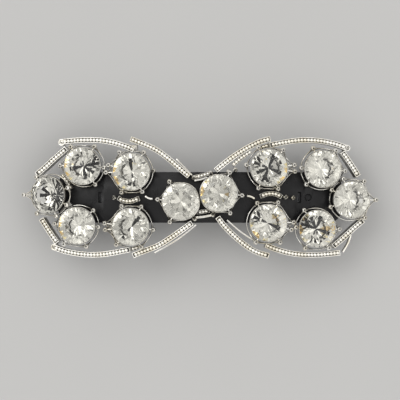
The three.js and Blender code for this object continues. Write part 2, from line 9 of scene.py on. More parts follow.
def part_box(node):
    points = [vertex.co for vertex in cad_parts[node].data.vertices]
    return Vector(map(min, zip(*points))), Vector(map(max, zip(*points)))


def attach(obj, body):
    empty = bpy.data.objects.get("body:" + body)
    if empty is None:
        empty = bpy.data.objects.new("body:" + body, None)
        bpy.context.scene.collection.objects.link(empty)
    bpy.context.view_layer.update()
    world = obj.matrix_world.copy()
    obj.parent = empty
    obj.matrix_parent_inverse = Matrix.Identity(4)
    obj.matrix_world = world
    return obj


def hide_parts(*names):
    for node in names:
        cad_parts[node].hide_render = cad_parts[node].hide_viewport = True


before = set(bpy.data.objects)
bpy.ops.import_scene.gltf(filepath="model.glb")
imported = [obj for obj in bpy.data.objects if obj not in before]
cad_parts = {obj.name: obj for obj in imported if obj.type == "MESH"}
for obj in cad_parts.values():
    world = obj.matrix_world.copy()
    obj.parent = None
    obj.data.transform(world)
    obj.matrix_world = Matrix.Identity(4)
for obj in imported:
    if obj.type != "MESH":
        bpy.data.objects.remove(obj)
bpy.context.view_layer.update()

bl_info = {
    "name": "Rhinestone Hair Clip",
    "version": (1, 0, 0),
    "blender": (4, 5, 0),
    "location": "View3D > Sidebar > Hair Clip",
    "description": "Models a stone-set bow barrette around its frame",
    "category": "Add Mesh",
}

MM = 0.001
BAR_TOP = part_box("base_bar")[1].z


# ---- Sizes and colours that a user would change ----


class HAIRCLIP_PG_stones(bpy.types.PropertyGroup):
    """Sizes and colours of the chatons."""

    crown_angle: bpy.props.FloatProperty(
        name="Crown angle", description="Slope of the eight large crown facets",
        default=math.radians(39), subtype="ANGLE",
    )
    girdle_cut_angle: bpy.props.FloatProperty(
        name="Crown edge angle", description="Slope of the sixteen small facets over the girdle",
        default=math.radians(44), subtype="ANGLE",
    )
    star_angle: bpy.props.FloatProperty(
        name="Star angle", description="Slope of the small facets beside the table",
        default=math.radians(22), subtype="ANGLE",
    )
    back_cut_extra: bpy.props.FloatProperty(
        name="Back edge extra",
        description="How much steeper the back's sixteen small facets are than its large ones",
        default=math.radians(1.1), subtype="ANGLE",
    )
    petal_drop: bpy.props.FloatProperty(
        name="Petal drop",
        description="How much flatter the eight facets round the culet are than the large ones",
        default=math.radians(0.9), subtype="ANGLE",
    )
    foil_colour: bpy.props.FloatVectorProperty(
        name="Foil", description="Colour of the silvered back", size=3, subtype="COLOR",
        default=(0.9, 0.892, 0.846),
    )
    # Painted fire: these two colours stand for light split by the stone, painted onto some facets
    amber_fire: bpy.props.FloatVectorProperty(
        name="Amber fire", description="Warm flash of some small crown facets", size=3, subtype="COLOR",
        default=(1.0, 0.6, 0.2),
    )
    pale_fire: bpy.props.FloatVectorProperty(
        name="Pale fire", description="Faint warm flash beside the amber one", size=3, subtype="COLOR",
        default=(1.0, 0.9, 0.62),
    )


class HAIRCLIP_PG_settings(bpy.types.PropertyGroup):
    """Sizes of the cups and their ball-tipped prongs."""

    clearance: bpy.props.FloatProperty(
        name="Stone clearance", description="Gap between a stone and its cup",
        default=0.03 * MM, unit="LENGTH", precision=5,
    )
    wall: bpy.props.FloatProperty(
        name="Cup wall", description="Thickness of a cup's rim", default=0.14 * MM, unit="LENGTH",
        precision=5,
    )
    foot: bpy.props.FloatProperty(
        name="Foot radius", description="Radius of a cup's flat foot", default=1.5 * MM, unit="LENGTH",
        precision=5,
    )
    ball: bpy.props.FloatProperty(
        name="Ball radius", description="Radius of the ball on a prong", default=0.5 * MM, unit="LENGTH",
        precision=5,
    )
    wire: bpy.props.FloatProperty(
        name="Wire radius", description="Radius of the wires that run out to a ball", default=0.12 * MM,
        unit="LENGTH", precision=5,
    )
    ring: bpy.props.FloatProperty(
        name="Gallery ring", description="Radius of the ring of wire below the stone", default=4.05 * MM,
        unit="LENGTH", precision=5,
    )
    centre_ring: bpy.props.FloatProperty(
        name="Middle gallery ring", description="Radius of that ring on the two middle settings",
        default=3.7 * MM, unit="LENGTH", precision=5,
    )
    ring_drop: bpy.props.FloatProperty(
        name="Ring drop", description="How far the ring lies below the girdle", default=1.7 * MM,
        unit="LENGTH", precision=5,
    )


class HAIRCLIP_PG_rails(bpy.types.PropertyGroup):
    """Sizes of the beaded rails and links."""

    arch: bpy.props.FloatProperty(
        name="Arch radius", description="Radius that the clip is bent to", default=140 * MM, unit="LENGTH",
    )
    lift: bpy.props.FloatProperty(
        name="Lift", description="Gap of solder between the rails and the bar", default=0.05 * MM,
        unit="LENGTH", precision=5,
    )
    width: bpy.props.FloatProperty(
        name="Rail width", description="Width of a rail", default=1.1 * MM, unit="LENGTH", precision=5,
    )
    height: bpy.props.FloatProperty(
        name="Rail height", description="Height of a rail's wall", default=2.3 * MM, unit="LENGTH",
        precision=5,
    )
    link_height: bpy.props.FloatProperty(
        name="Link height", description="Height of the links", default=1.8 * MM, unit="LENGTH",
        precision=5,
    )
    ridge: bpy.props.FloatProperty(
        name="Ridge width", description="Width of the plain ridge on each side of the beads",
        default=0.16 * MM, unit="LENGTH", precision=5,
    )
    channel: bpy.props.FloatProperty(
        name="Channel depth", description="Depth of the channel that the beads sit in",
        default=0.3 * MM, unit="LENGTH", precision=5,
    )
    pitch: bpy.props.FloatProperty(
        name="Bead pitch", description="Distance from bead to bead", default=0.64 * MM, unit="LENGTH",
        precision=5,
    )


class HAIRCLIP_PG_finish(bpy.types.PropertyGroup):
    """Colours of the metals and the stage."""

    silver: bpy.props.FloatVectorProperty(
        name="Silver", description="Colour of the bright plate", size=3, subtype="COLOR",
        default=(0.95, 0.935, 0.885),
    )
    warm_silver: bpy.props.FloatVectorProperty(
        name="Warm silver", description="Colour of the plate where it has begun to tarnish", size=3,
        subtype="COLOR", default=(0.8, 0.755, 0.64),
    )
    # The colour of the painted shade in the recesses of the silver
    patina: bpy.props.FloatVectorProperty(
        name="Patina", description="Colour of the darkened recesses", size=3, subtype="COLOR",
        default=(0.022, 0.02, 0.017),
    )
    lacquer: bpy.props.FloatVectorProperty(
        name="Lacquer", description="Colour of the lacquered steel", size=3, subtype="COLOR",
        default=(0.008, 0.008, 0.009),
    )
    steel: bpy.props.FloatVectorProperty(
        name="Steel", description="Colour of the spring steel", size=3, subtype="COLOR",
        default=(0.46, 0.47, 0.49),
    )
    floor: bpy.props.FloatVectorProperty(
        name="Floor", description="Colour of the floor", size=3, subtype="COLOR",
        default=(0.52, 0.52, 0.515),
    )


def sizes(group):
    return getattr(bpy.context.scene, "hairclip_" + group)


# ---- The plan of the front, in millimetres ----

RIGHT_OUTER_RAILS = {
    "top": [(13.75, 10.2), (14.8, 10.45), (19.1, 11.2), (23, 11.2), (26.5, 10.6), (29, 9.75)],
    "outer_upper": [(28.15, 8.95), (28.8, 8.05), (29.8, 6.6), (31.35, 4.2)],
    "outer_lower": [(32.3, -4.5), (30.5, -6), (28.6, -7.74), (26.3, -9.65)],
    "bottom": [(13, -9.3), (14.5, -10), (17.3, -10.85), (20.1, -11.25), (23.9, -11.25), (27.7, -10.9)],
}
INNER_RAILS = {
    "rail_right_inner_upper": [(3.1, 5.25), (5.94, 7.52), (8.78, 9.39), (11.85, 10.95), (13.9, 11.5)],
    "rail_right_inner_lower": [(3.5, -3.85), (5.02, -5.83), (7.83, -8.5), (10.67, -10.5), (13.6, -11.5)],
    "rail_left_inner_upper": [(-2.1, 4.15), (-3.46, 5.26), (-6.3, 7.7), (-9.1, 9.6), (-13.64, 11.5)],
    "rail_left_inner_lower": [(-1.5, -4.95), (-5.16, -7.56), (-8.17, -9.45), (-11, -10.55), (-13.2, -11.45)],
}
TURNED_NAMES = {"top": "bottom", "bottom": "top", "outer_upper": "outer_lower", "outer_lower": "outer_upper"}
WAIST_LINKS = {
    "waist_link_top": [(-1.15, 3.95), (0.4, 4.3), (1.95, 4.75)],
    "waist_link_bottom": [(-0.8, -3.95), (0.8, -3.8), (2.3, -3.5)],
}
# Low plain walls beside some rails
FLANGES = {
    "rail_left_inner_upper": [(-4.6, 7.56), (-3.1, 6.0), (-1.57, 4.4)],
    "rail_left_inner_lower": [(-8.9, -10.9), (-4.4, -8.3), (-0.75, -5.4)],
    "rail_right_inner_lower": [(5.35, -4.45), (7.83, -6.6), (10.67, -8.5)],
    "rail_right_outer_lower": [(29.9, -7.45), (29.3, -9.1), (28.3, -10.8)],
}
# Round knobs that close the free ends of some rails
KNOBS = {
    "rail_right_top": (29.05, 9.75), "rail_left_top": (-27.3, 10.8), "rail_left_bottom": (-28.75, -9.8),
}
# Second rows of small beads
GRANULES = {
    "rail_right_inner_upper": [(6.5, 6.35), (8.3, 7.85), (10.1, 9.0)],
    "rail_right_top": [(12.05, 9.75), (12.7, 10.0), (13.6, 10.25)],
    "rail_left_bottom": [(-12.05, -9.7), (-12.7, -9.95), (-13.6, -10.2)],
    "rail_left_outer_upper": [(-27.2, 4.5), (-26.3, 3.2), (-25.5, 1.7)],
    "waist_link_bottom": [(-0.6, -2.95), (0.8, -2.75), (1.9, -2.6)],
}
# Small plates of solder that bridge two pieces
PLATES = {
    "rail_left_inner_upper": [(-14.3, 9.55), (-12.3, 9.85)],
    "rail_left_outer_lower": [(-27.2, -3.1), (-25.6, -1.1)],
}
# The plain wire that lies inside the waist's upper link
WAIST_WIRE = [(-1.05, 3.3), (0.4, 3.58), (1.5, 3.95)]
# Balls on posts of their own, beside the piece that they belong to
LOOSE_BALLS = {
    "waist_link_top": [(2.13, 4.74), (-1.16, 3.86)],
    "waist_link_bottom": [(2.6, -3.4), (-1.05, -4.2)],
    "cross_link_right": [(16.9, 0.05), (18.4, -0.08)],
    "cross_link_left": [(-16.9, -0.05)],
    "rail_right_inner_upper": [(6.93, 5.39), (5.6, 5.06)],
    "rail_left_inner_upper": [(-9.1, 5.2)],
}
# The links of the right lobe, which the left lobe has after half a turn
CROSS_LINK = [(11.9, 0.2), (13.6, 0.75), (15.1, 0.62), (16.1, 0.05)]
CENTRE_LINK = [(9.3, 0.3), (10.1, 0.15), (10.75, -0.25)]
# The side, in degrees from +X, on which a stone's painted fire stands for light split into colour
FIRE_SIDES = {
    "stone_left_outer_upper": 190, "stone_left_inner_upper": 200, "stone_left_outer_lower": 185,
    "stone_right_centre": 165, "stone_right_inner_lower": 215, "stone_right_outer_lower": 170,
    "stone_right_inner_upper": 340,
}
# How far from that side, in degrees, its facets are painted amber and then pale, as painted fire
AMBER_SPREAD = 24
PALE_SPREAD = 48
# The share of a stone's petals, the facets round its culet, painted black as a painted dark reflection
DARK_REFLECTION_SHARES = {
    "stone_right_inner_upper": 0.5, "stone_right_outer_lower": 0.85, "stone_left_outer_lower": 0.2,
    "stone_left_outer_upper": 0.25, "stone_left_end": 0.25, "stone_right_outer_upper": 0.0,
}
USUAL_DARK_REFLECTION_SHARE = 0.08
DARK_PETAL_REFLECTION = (0.02, 0.02, 0.02)
# The lowest grey of the random tones painted on the silvered facets as painted reflections
DIMMEST_FACET_REFLECTION = 0.72

# ---- The cut of a stone ----

BLANK_SIDES = 48
CROWN_FACETS = 8
BACK_FACETS = 16
# Shares of the stone's radius and of its table's, at which the petals and the stars are cut
PETAL_REACH = 0.55
STAR_REACH = 0.95
TABLE_SKIM = 0.02 * MM
FINEST_CUT = 0.0001 * MM
TURN_PER_STONE = math.radians(137.5)
# A facet whose normal points further down than this is one of the back's
FACES_DOWN = -0.3

# ---- Cups, prongs, beads and strips ----

RIM_RISE = 0.04 * MM
FOOT_DEPTH = 0.45 * MM
SHOULDER_DEPTH = 0.4 * MM
SEAT_DEPTH = 0.12 * MM
CUP_EDGE = 0.07 * MM
PRONG_DROP = 0.4 * MM
SIDE_WIRE_SPREAD = math.radians(25)
SIDE_WIRE_STEPS = 8
# Points of a setting this far outside its cup belong to a ball, and balls are this far apart in degrees
PAST_THE_CUP = 0.4 * MM
BALL_SPACING = 4.2
BALL_INSET = 0.03 * MM
BEND_STEP = 0.5 * MM
BEAD_LIFT = 0.1 * MM
BEAD_HALF_HEIGHT = 0.24 * MM
# A bead's half length as a share of the pitch, its half width as a share of the channel's,
# and the longest pitch in half widths
BEAD_HALF_LENGTH = 0.55
BEAD_FILL = 0.98
LONGEST_PITCH = 2.1
FLANGE_WIDTH, FLANGE_HEIGHT = 0.26 * MM, 0.55
GRANULE_WIDTH, GRANULE_HEIGHT, GRANULE_RIDGE = 0.76 * MM, 0.95, 0.05 * MM
PLATE_WIDTH, PLATE_HEIGHT = 1.1 * MM, 0.6
KNOB_RADIUS, KNOB_BEAD, KNOB_HOLLOW = 0.58, 0.3 * MM, 0.12 * MM
WAIST_TOP_WIDTH, WAIST_BOTTOM_WIDTH, WAIST_WIRE_WIDTH = 0.74 * MM, 0.4 * MM, 0.3 * MM
CROSS_LINK_WIDTH, CENTRE_LINK_WIDTH = 0.9 * MM, 0.32 * MM
LINK_RIDGE = 0.07 * MM
# How far below a top its plate is left bright, free of the painted shade
UNSHADED_TOP = 0.1 * MM
# How dark the painted shade lies, from 0 to 1: hollows, feet, undersides and the dimples on the balls are
# darkened as if in shade
PAINTED_SHADE = {
    "bead foot": 0.9, "channel": 0.9, "wall foot": 0.9, "wall": 0.7, "post": 0.8, "ball underside": 0.75,
    "ball dimple": 0.95, "cup": 0.88, "cup rim": 0.5, "ring underside": 0.6, "knob": 0.7, "plate": 0.5,
}


def half_turn(points):
    return [(-x, -y) for x, y in points]


def rail_plans():
    plans = dict(INNER_RAILS)
    for name, points in RIGHT_OUTER_RAILS.items():
        plans["rail_right_" + name] = points
        plans["rail_left_" + TURNED_NAMES[name]] = half_turn(points)
    return plans


# ---- Working by hand, in code ----


def only(obj):
    """Selects one object and makes it active."""
    bpy.ops.object.select_all(action="DESELECT")
    obj.select_set(True)
    bpy.context.view_layer.objects.active = obj


def begin_edit(obj, mode="FACE"):
    only(obj)
    bpy.ops.object.mode_set(mode="EDIT")
    bpy.ops.mesh.select_mode(type=mode)
    bpy.ops.mesh.select_all(action="DESELECT")


def end_edit():
    bpy.ops.object.mode_set(mode="OBJECT")


def pick(obj, kind, wanted):
    """Selects the faces, edges or points that `wanted` says yes to."""
    bpy.ops.object.mode_set(mode="OBJECT")
    mesh = obj.data
    for item in (*mesh.vertices, *mesh.edges, *mesh.polygons):
        item.select = False
    for item in getattr(mesh, kind):
        item.select = bool(wanted(item))
    bpy.ops.object.mode_set(mode="EDIT")


def apply_all(obj):
    only(obj)
    for modifier in list(obj.modifiers):
        bpy.ops.object.modifier_apply(modifier=modifier.name)


def settle(obj):
    """Puts the object's place into its mesh."""
    only(obj)
    bpy.ops.object.transform_apply(location=True, rotation=True, scale=True)


def smooth(obj, angle=35):
    only(obj)
    bpy.ops.object.shade_smooth_by_angle(angle=math.radians(angle))


def add_bevel(obj, width, segments=2, angle=40):
    bevel = obj.modifiers.new("edge", "BEVEL")
    bevel.width = width
    bevel.segments = segments
    bevel.limit_method = "ANGLE"
    bevel.angle_limit = math.radians(angle)
    bevel.use_clamp_overlap = True


def copy_of(obj, name):
    twin = obj.copy()
    twin.data = obj.data.copy()
    twin.name = name
    twin.data.name = name
    bpy.context.scene.collection.objects.link(twin)
    return twin


def joined(objects, name):
    bpy.ops.object.select_all(action="DESELECT")
    for obj in objects:
        obj.select_set(True)
    bpy.context.view_layer.objects.active = objects[0]
    bpy.ops.object.join()
    objects[0].name = name
    objects[0].data.name = name
    return objects[0]


def discard(obj):
    bpy.data.objects.remove(obj, do_unlink=True)


def paint(obj, name, value_at):
    """Writes a number for each point of the mesh, such as how dark its painted shade is."""
    values = obj.data.attributes.get(name) or obj.data.attributes.new(name, "FLOAT", "POINT")
    for vertex, item in zip(obj.data.vertices, values.data):
        item.value = value_at(vertex.co)


def finish_piece(obj, body, node, material):
    if material is not None:
        obj.data.materials.clear()
        obj.data.materials.append(material)
    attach(obj, body)
    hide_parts(node)


# ---- Materials ----


MADE = {}


def finish_called(name, make, *details):
    """A finish is made the first time it is called for."""
    if name not in MADE:
        MADE[name] = make(name, *details)
    return MADE[name]


def new_material(name):
    material = bpy.data.materials.new(name)
    material.use_nodes = True
    return material, material.node_tree.nodes, material.node_tree.links


def object_noise(nodes, links, scale, detail=3.0, stretch=None):
    """A noise pattern on the piece's own place, in metres."""
    place = nodes.new("ShaderNodeTexCoord")
    noise = nodes.new("ShaderNodeTexNoise")
    noise.inputs["Scale"].default_value = scale
    noise.inputs["Detail"].default_value = detail
    if stretch is None:
        links.new(place.outputs["Object"], noise.inputs["Vector"])
    else:
        mapping = nodes.new("ShaderNodeMapping")
        mapping.inputs["Scale"].default_value = stretch
        links.new(place.outputs["Object"], mapping.inputs["Vector"])
        links.new(mapping.outputs["Vector"], noise.inputs["Vector"])
    return noise


def ramp(nodes, links, source, low, high, low_value=0.0, high_value=1.0):
    spread = nodes.new("ShaderNodeMapRange")
    spread.inputs["From Min"].default_value = low
    spread.inputs["From Max"].default_value = high
    spread.inputs["To Min"].default_value = low_value
    spread.inputs["To Max"].default_value = high_value
    links.new(source, spread.inputs["Value"])
    return spread.outputs["Result"]


def feed(links, socket, value):
    """Links a socket to another one, or gives it a number or colour."""
    if isinstance(value, bpy.types.NodeSocket):
        links.new(value, socket)
    else:
        socket.default_value = (*value, 1.0) if isinstance(value, tuple) else value


def mixed(nodes, links, share, first, second, blend="MIX"):
    mix = nodes.new("ShaderNodeMix")
    mix.data_type = "RGBA"
    mix.blend_type = blend
    for i, value in ((0, share), (6, first), (7, second)):
        feed(links, mix.inputs[i], value)
    return mix.outputs[2]


def worked_out(nodes, links, operation, *values):
    """A sum, product or the like of sockets and numbers."""
    node = nodes.new("ShaderNodeMath")
    node.operation = operation
    for socket, value in zip(node.inputs, values):
        feed(links, socket, value)
    return node.outputs["Value"]


def painted(nodes, name, output="Fac"):
    """What was painted on the mesh under this name."""
    node = nodes.new("ShaderNodeAttribute")
    node.attribute_name = name
    return node.outputs[output]


def bumped(nodes, links, height, shader, strength, distance):
    bump = nodes.new("ShaderNodeBump")
    bump.inputs["Strength"].default_value = strength
    bump.inputs["Distance"].default_value = distance
    links.new(height, bump.inputs["Height"])
    links.new(bump.outputs["Normal"], shader.inputs["Normal"])


def silver_with_painted_shade(name, darkest, roughness):
    """Bright plate, darkened by the painted shade in the attribute on the mesh, with warm tarnish in patches.
    """
    finish = sizes("finish")
    material, nodes, links = new_material(name)
    shader = nodes["Principled BSDF"]
    shader.inputs["Metallic"].default_value = 1.0
    patches = object_noise(nodes, links, scale=260.0)
    warmth = ramp(nodes, links, patches.outputs["Fac"], low=0.42, high=0.68)
    plate = mixed(nodes, links, warmth, tuple(finish.silver), tuple(finish.warm_silver))
    grain = object_noise(nodes, links, scale=1800.0, detail=4.0)
    grain_share = 0.5
    # Painted shade: the attribute darkens hollows and undersides, with the grain's random tone mixed in
    painted_shading = worked_out(
        nodes, links, "MULTIPLY_ADD", grain.outputs["Fac"], grain_share, painted(nodes, "patina"),
    )
    dark = ramp(nodes, links, painted_shading, low=0.4, high=1.1, high_value=darkest)
    links.new(mixed(nodes, links, dark, plate, tuple(finish.patina)), shader.inputs["Base Color"])
    dull = ramp(nodes, links, painted_shading, low=0.2, high=1.2, low_value=roughness, high_value=0.6)
    links.new(dull, shader.inputs["Roughness"])
    bumped(nodes, links, grain.outputs["Fac"], shader, strength=0.25, distance=0.04 * MM)
    return material


def milgrain_silver():
    darkest, roughness = 0.92, 0.22
    return finish_called("Milgrain silver", silver_with_painted_shade, darkest, roughness)


def rim_silver():
    darkest, roughness = 0.9, 0.14
    return finish_called("Rim silver", silver_with_painted_shade, darkest, roughness)


def crystal_glass(name):
    """Clear glass, tinted facet by facet with the painted fire in the attribute on the mesh, with faint
    smears.
    """
    material, nodes, links = new_material(name)
    shader = nodes["Principled BSDF"]
    links.new(painted(nodes, "fire", "Color"), shader.inputs["Base Color"])
    shader.inputs["Transmission Weight"].default_value = 1.0
    shader.inputs["IOR"].default_value = 1.56
    smears = object_noise(nodes, links, scale=420.0)
    haze = ramp(nodes, links, smears.outputs["Fac"], low=0.45, high=0.8, high_value=0.05)
    links.new(haze, shader.inputs["Roughness"])
    return material


def foil_back(name):
    """The silvered back of a stone. Each facet holds its own painted reflection, grey, black or a painted
    flash of colour, in the attribute on the mesh.
    """
    stones = sizes("stones")
    material, nodes, links = new_material(name)
    shader = nodes["Principled BSDF"]
    shader.inputs["Metallic"].default_value = 1.0
    mottle = object_noise(nodes, links, scale=900.0)
    shade = ramp(nodes, links, mottle.outputs["Fac"], low=0.4, high=0.75, high_value=0.15)
    dulled = (0.6, 0.6, 0.62)
    silvering = mixed(nodes, links, shade, tuple(stones.foil_colour), dulled)
    tinted = mixed(nodes, links, 1.0, silvering, painted(nodes, "fire", "Color"), "MULTIPLY")
    links.new(tinted, shader.inputs["Base Color"])
    shader.inputs["Roughness"].default_value = 0.05
    return material


def black_lacquer(name):
    """Thin black lacquer on steel, with dust in patches and a faint orange peel."""
    finish = sizes("finish")
    material, nodes, links = new_material(name)
    shader = nodes["Principled BSDF"]
    dust = object_noise(nodes, links, scale=700.0, detail=5.0)
    dusty = (0.02, 0.02, 0.021)
    thickness = ramp(nodes, links, dust.outputs["Fac"], low=0.6, high=0.8, high_value=0.35)
    links.new(
        mixed(nodes, links, thickness, tuple(finish.lacquer), dusty), shader.inputs["Base Color"],
    )
    dull = ramp(nodes, links, dust.outputs["Fac"], low=0.3, high=0.8, low_value=0.22, high_value=0.5)
    links.new(dull, shader.inputs["Roughness"])
    peel = object_noise(nodes, links, scale=1500.0, detail=2.0)
    bumped(nodes, links, peel.outputs["Fac"], shader, strength=0.12, distance=0.03 * MM)
    shader.inputs["Specular IOR Level"].default_value = 0.28
    return material


def spring_steel(name):
    """Drawn steel with fine lines, black where the attribute on the mesh says that lacquer covers it."""
    finish = sizes("finish")
    material, nodes, links = new_material(name)
    shader = nodes["Principled BSDF"]
    shader.inputs["Metallic"].default_value = 1.0
    lines = object_noise(nodes, links, scale=900.0, stretch=(0.12, 2.5, 1.0))
    drawn, blackened = (0.3, 0.3, 0.31), (0.025, 0.025, 0.026)
    depth = ramp(nodes, links, lines.outputs["Fac"], low=0.35, high=0.7)
    bare = mixed(nodes, links, depth, tuple(finish.steel), drawn)
    links.new(mixed(nodes, links, painted(nodes, "patina"), bare, blackened), shader.inputs["Base Color"])
    dull = ramp(nodes, links, lines.outputs["Fac"], low=0.3, high=0.7, low_value=0.24, high_value=0.42)
    links.new(dull, shader.inputs["Roughness"])
    bumped(nodes, links, lines.outputs["Fac"], shader, strength=0.15, distance=0.02 * MM)
    return material


# ---- Bending to the arch ----


def bend_over_arch(obj, true_at):
    """Bends a flat mesh over the arch of the bar. Its plan stays true at the height `true_at`."""
    arch = sizes("rails").arch
    centre = BAR_TOP - arch
    for vertex in obj.data.vertices:
        angle = math.asin(vertex.co.x / (arch + true_at))
        radius = arch + vertex.co.z
        vertex.co.x = radius * math.sin(angle)
        vertex.co.z = centre + radius * math.cos(angle)
    obj.data.update()


def smooth_line(points, steps=12):
    """A smooth line through the points, as a list of points in metres."""
    line = []
    last = len(points) - 1
    for i in range(last):
        p0, p1 = Vector(points[max(i - 1, 0)]), Vector(points[i])
        p2, p3 = Vector(points[i + 1]), Vector(points[min(i + 2, last)])
        for step in range(steps):
            t = step / steps
            line.append(0.5 * (2 * p1 + (p2 - p0) * t + (2 * p0 - 5 * p1 + 4 * p2 - p3) * t * t
                               + (3 * p1 - p0 - 3 * p2 + p3) * t * t * t))
    line.append(Vector(points[last]))
    return [point * MM for point in line]


def length_of(line):
    return sum((b - a).length for a, b in zip(line, line[1:]))


def route_curve(line):
    data = bpy.data.curves.new("route", "CURVE")
    data.dimensions = "3D"
    data.twist_mode = "Z_UP"
    spline = data.splines.new("POLY")
    spline.points.add(len(line) - 1)
    for point, place in zip(spline.points, line):
        point.co = (place.x, place.y, 0.0, 1.0)
    curve = bpy.data.objects.new("route", data)
    bpy.context.scene.collection.objects.link(curve)
    return curve


# ---- Rails and links ----


def rail_blank(length, width, low, high, ridge, channel, cuts):
    """A straight bar along X with a sunk channel in its top."""
    bpy.ops.mesh.primitive_cube_add(size=1, location=(length / 2, 0, (low + high) / 2))
    bar = bpy.context.object
    bar.scale = (length, width, high - low)
    settle(bar)
    top = high - (high - low) * 0.01
    begin_edit(bar)
    if channel > 0:
        pick(bar, "polygons", lambda face: face.center.z > top)
        bpy.ops.mesh.inset(thickness=ridge, depth=0)
        bpy.ops.mesh.extrude_region_move(TRANSFORM_OT_translate={"value": (0, 0, -channel)})
    bpy.ops.mesh.select_mode(type="EDGE")

    def runs_along(edge):
        first, second = (bar.data.vertices[i].co for i in edge.vertices)
        return abs(first.x - second.x) > length * 0.5

    pick(bar, "edges", runs_along)
    bpy.ops.mesh.subdivide(number_cuts=cuts)
    end_edit()
    add_bevel(bar, min(ridge * 0.45, width * 0.15), segments=3, angle=50)
    apply_all(bar)
    return bar


def bead_row(length, across, pitch, floor, margin):
    """One flattened bead, repeated along X in a channel."""
    count = max(1, int((length - 2 * margin) / pitch) + 1)
    start = (length - (count - 1) * pitch) / 2
    height = floor + BEAD_LIFT
    bpy.ops.mesh.primitive_ico_sphere_add(subdivisions=2, radius=across, location=(start, 0, height))
    bead = bpy.context.object
    settle(bead)
    begin_edit(bead)
    bpy.ops.mesh.select_all(action="SELECT")
    bpy.ops.transform.resize(
        value=(pitch * BEAD_HALF_LENGTH / across, 1, BEAD_HALF_HEIGHT / across),
        center_override=(start, 0, height),
    )
    end_edit()
    row = bead.modifiers.new("row", "ARRAY")
    row.count = count
    row.use_relative_offset = False
    row.use_constant_offset = True
    row.constant_offset_displace = (pitch, 0, 0)
    apply_all(bead)
    # Painted shade: the foot of each bead is darkened
    foot = floor + 0.06 * MM
    paint(bead, "patina", lambda co: PAINTED_SHADE["bead foot"] if co.z < foot else 0.0)
    return bead


def along(obj, line):
    """Lays a straight piece along a line in plan."""
    curve = route_curve(line)
    follow = obj.modifiers.new("route", "CURVE")
    follow.object = curve
    follow.deform_axis = "POS_X"
    apply_all(obj)
    discard(curve)


def beaded_strip(name, points, width, height, beads=True, ridge=None):
    """A low wall along a line, with a row of beads between two plain ridges on its top."""
    rails = sizes("rails")
    line = smooth_line(points)
    length = length_of(line)
    low, high = rails.lift, rails.lift + height
    cuts = max(6, round(length / BEND_STEP))
    ridge = ridge or rails.ridge * width / rails.width
    bar = rail_blank(length, width, low, high, ridge, rails.channel if beads else 0.0, cuts)
    floor = high - rails.channel

    # Painted shade: the channel is darkened, and the walls grow darker towards their foot
    def painted_shading(co):
        if abs(co.y) < width / 2 - ridge * 0.8 and co.z < high - UNSHADED_TOP:
            return PAINTED_SHADE["channel"]
        return min(PAINTED_SHADE["wall"], max(0.0, (high - co.z) / height * PAINTED_SHADE["wall foot"]))

    paint(bar, "patina", painted_shading)
    pieces = [bar]
    if beads:
        across = (width / 2 - ridge) * BEAD_FILL
        pitch = min(rails.pitch, across * LONGEST_PITCH)
        pieces.append(bead_row(length, across, pitch, floor, margin=ridge + across * 0.8))
    strip = joined(pieces, name)
    along(strip, line)
    bend_over_arch(strip, high)
    smooth(strip, angle=50)
    return strip


def plan_balls(node, height):
    """The loose balls that belong to a piece, standing on the bar's arch on short posts."""
    rails = sizes("rails")
    made = []
    for x, y in LOOSE_BALLS.get(node, ()):
        radius = sizes("settings").ball
        level = rails.lift + height - 0.1 * MM
        ball = ball_at(x * MM, y * MM, level, radius, segments=14)
        post = wire_along(
            [(x * MM, y * MM, rails.lift), (x * MM, y * MM, level)], sizes("settings").wire * 1.5, "post",
        )
        # Painted shade over the whole post under the ball
        paint(post, "patina", lambda co: PAINTED_SHADE["post"])
        stem = joined([ball, post], "ball")
        bend_over_arch(stem, level)
        made.append(stem)
    return made


def ball_at(x, y, z, radius, segments=16):
    """A ball with a small dimple in its top."""
    bpy.ops.mesh.primitive_uv_sphere_add(
        segments=segments, ring_count=segments // 2, radius=radius, location=(x, y, z),
    )
    ball = bpy.context.object
    settle(ball)
    begin_edit(ball)
    cap, lip, dimple = radius * 0.88, radius * 0.13, radius * 0.25
    pick(ball, "polygons", lambda face: face.center.z > z + cap)
    bpy.ops.mesh.inset(thickness=lip, depth=0)
    bpy.ops.transform.translate(value=(0, 0, -dimple))
    end_edit()
    # Painted shade under the ball's waist and a painted dark reflection in its dimple
    paint(ball, "patina", lambda co: ball_shading((co - Vector((x, y, z))) / radius))
    smooth(ball, angle=60)
    return ball


def ball_shading(place):
    """Painted shade lies under a ball's waist, and a painted dark reflection lies in the dimple on its top.
    The ball's radius is 1 here.
    """
    if place.z < -0.35:
        return PAINTED_SHADE["ball underside"]
    return PAINTED_SHADE["ball dimple"] if place.z > 0 and place.length < 0.9 else 0.0


def wire_along(points, radius, name):
    """A round wire through points given in metres."""
    data = bpy.data.curves.new(name, "CURVE")
    data.dimensions = "3D"
    data.bevel_depth = radius
    data.bevel_resolution = 2
    data.use_fill_caps = True
    spline = data.splines.new("POLY")
    spline.points.add(len(points) - 1)
    for point, place in zip(spline.points, points):
        point.co = (*place, 1.0)
    wire = bpy.data.objects.new(name, data)
    bpy.context.scene.collection.objects.link(wire)
    only(wire)
    bpy.ops.object.convert(target="MESH")
    wire = bpy.context.object
    paint(wire, "patina", lambda co: 0.0)
    return wire


# ---- Stones ----


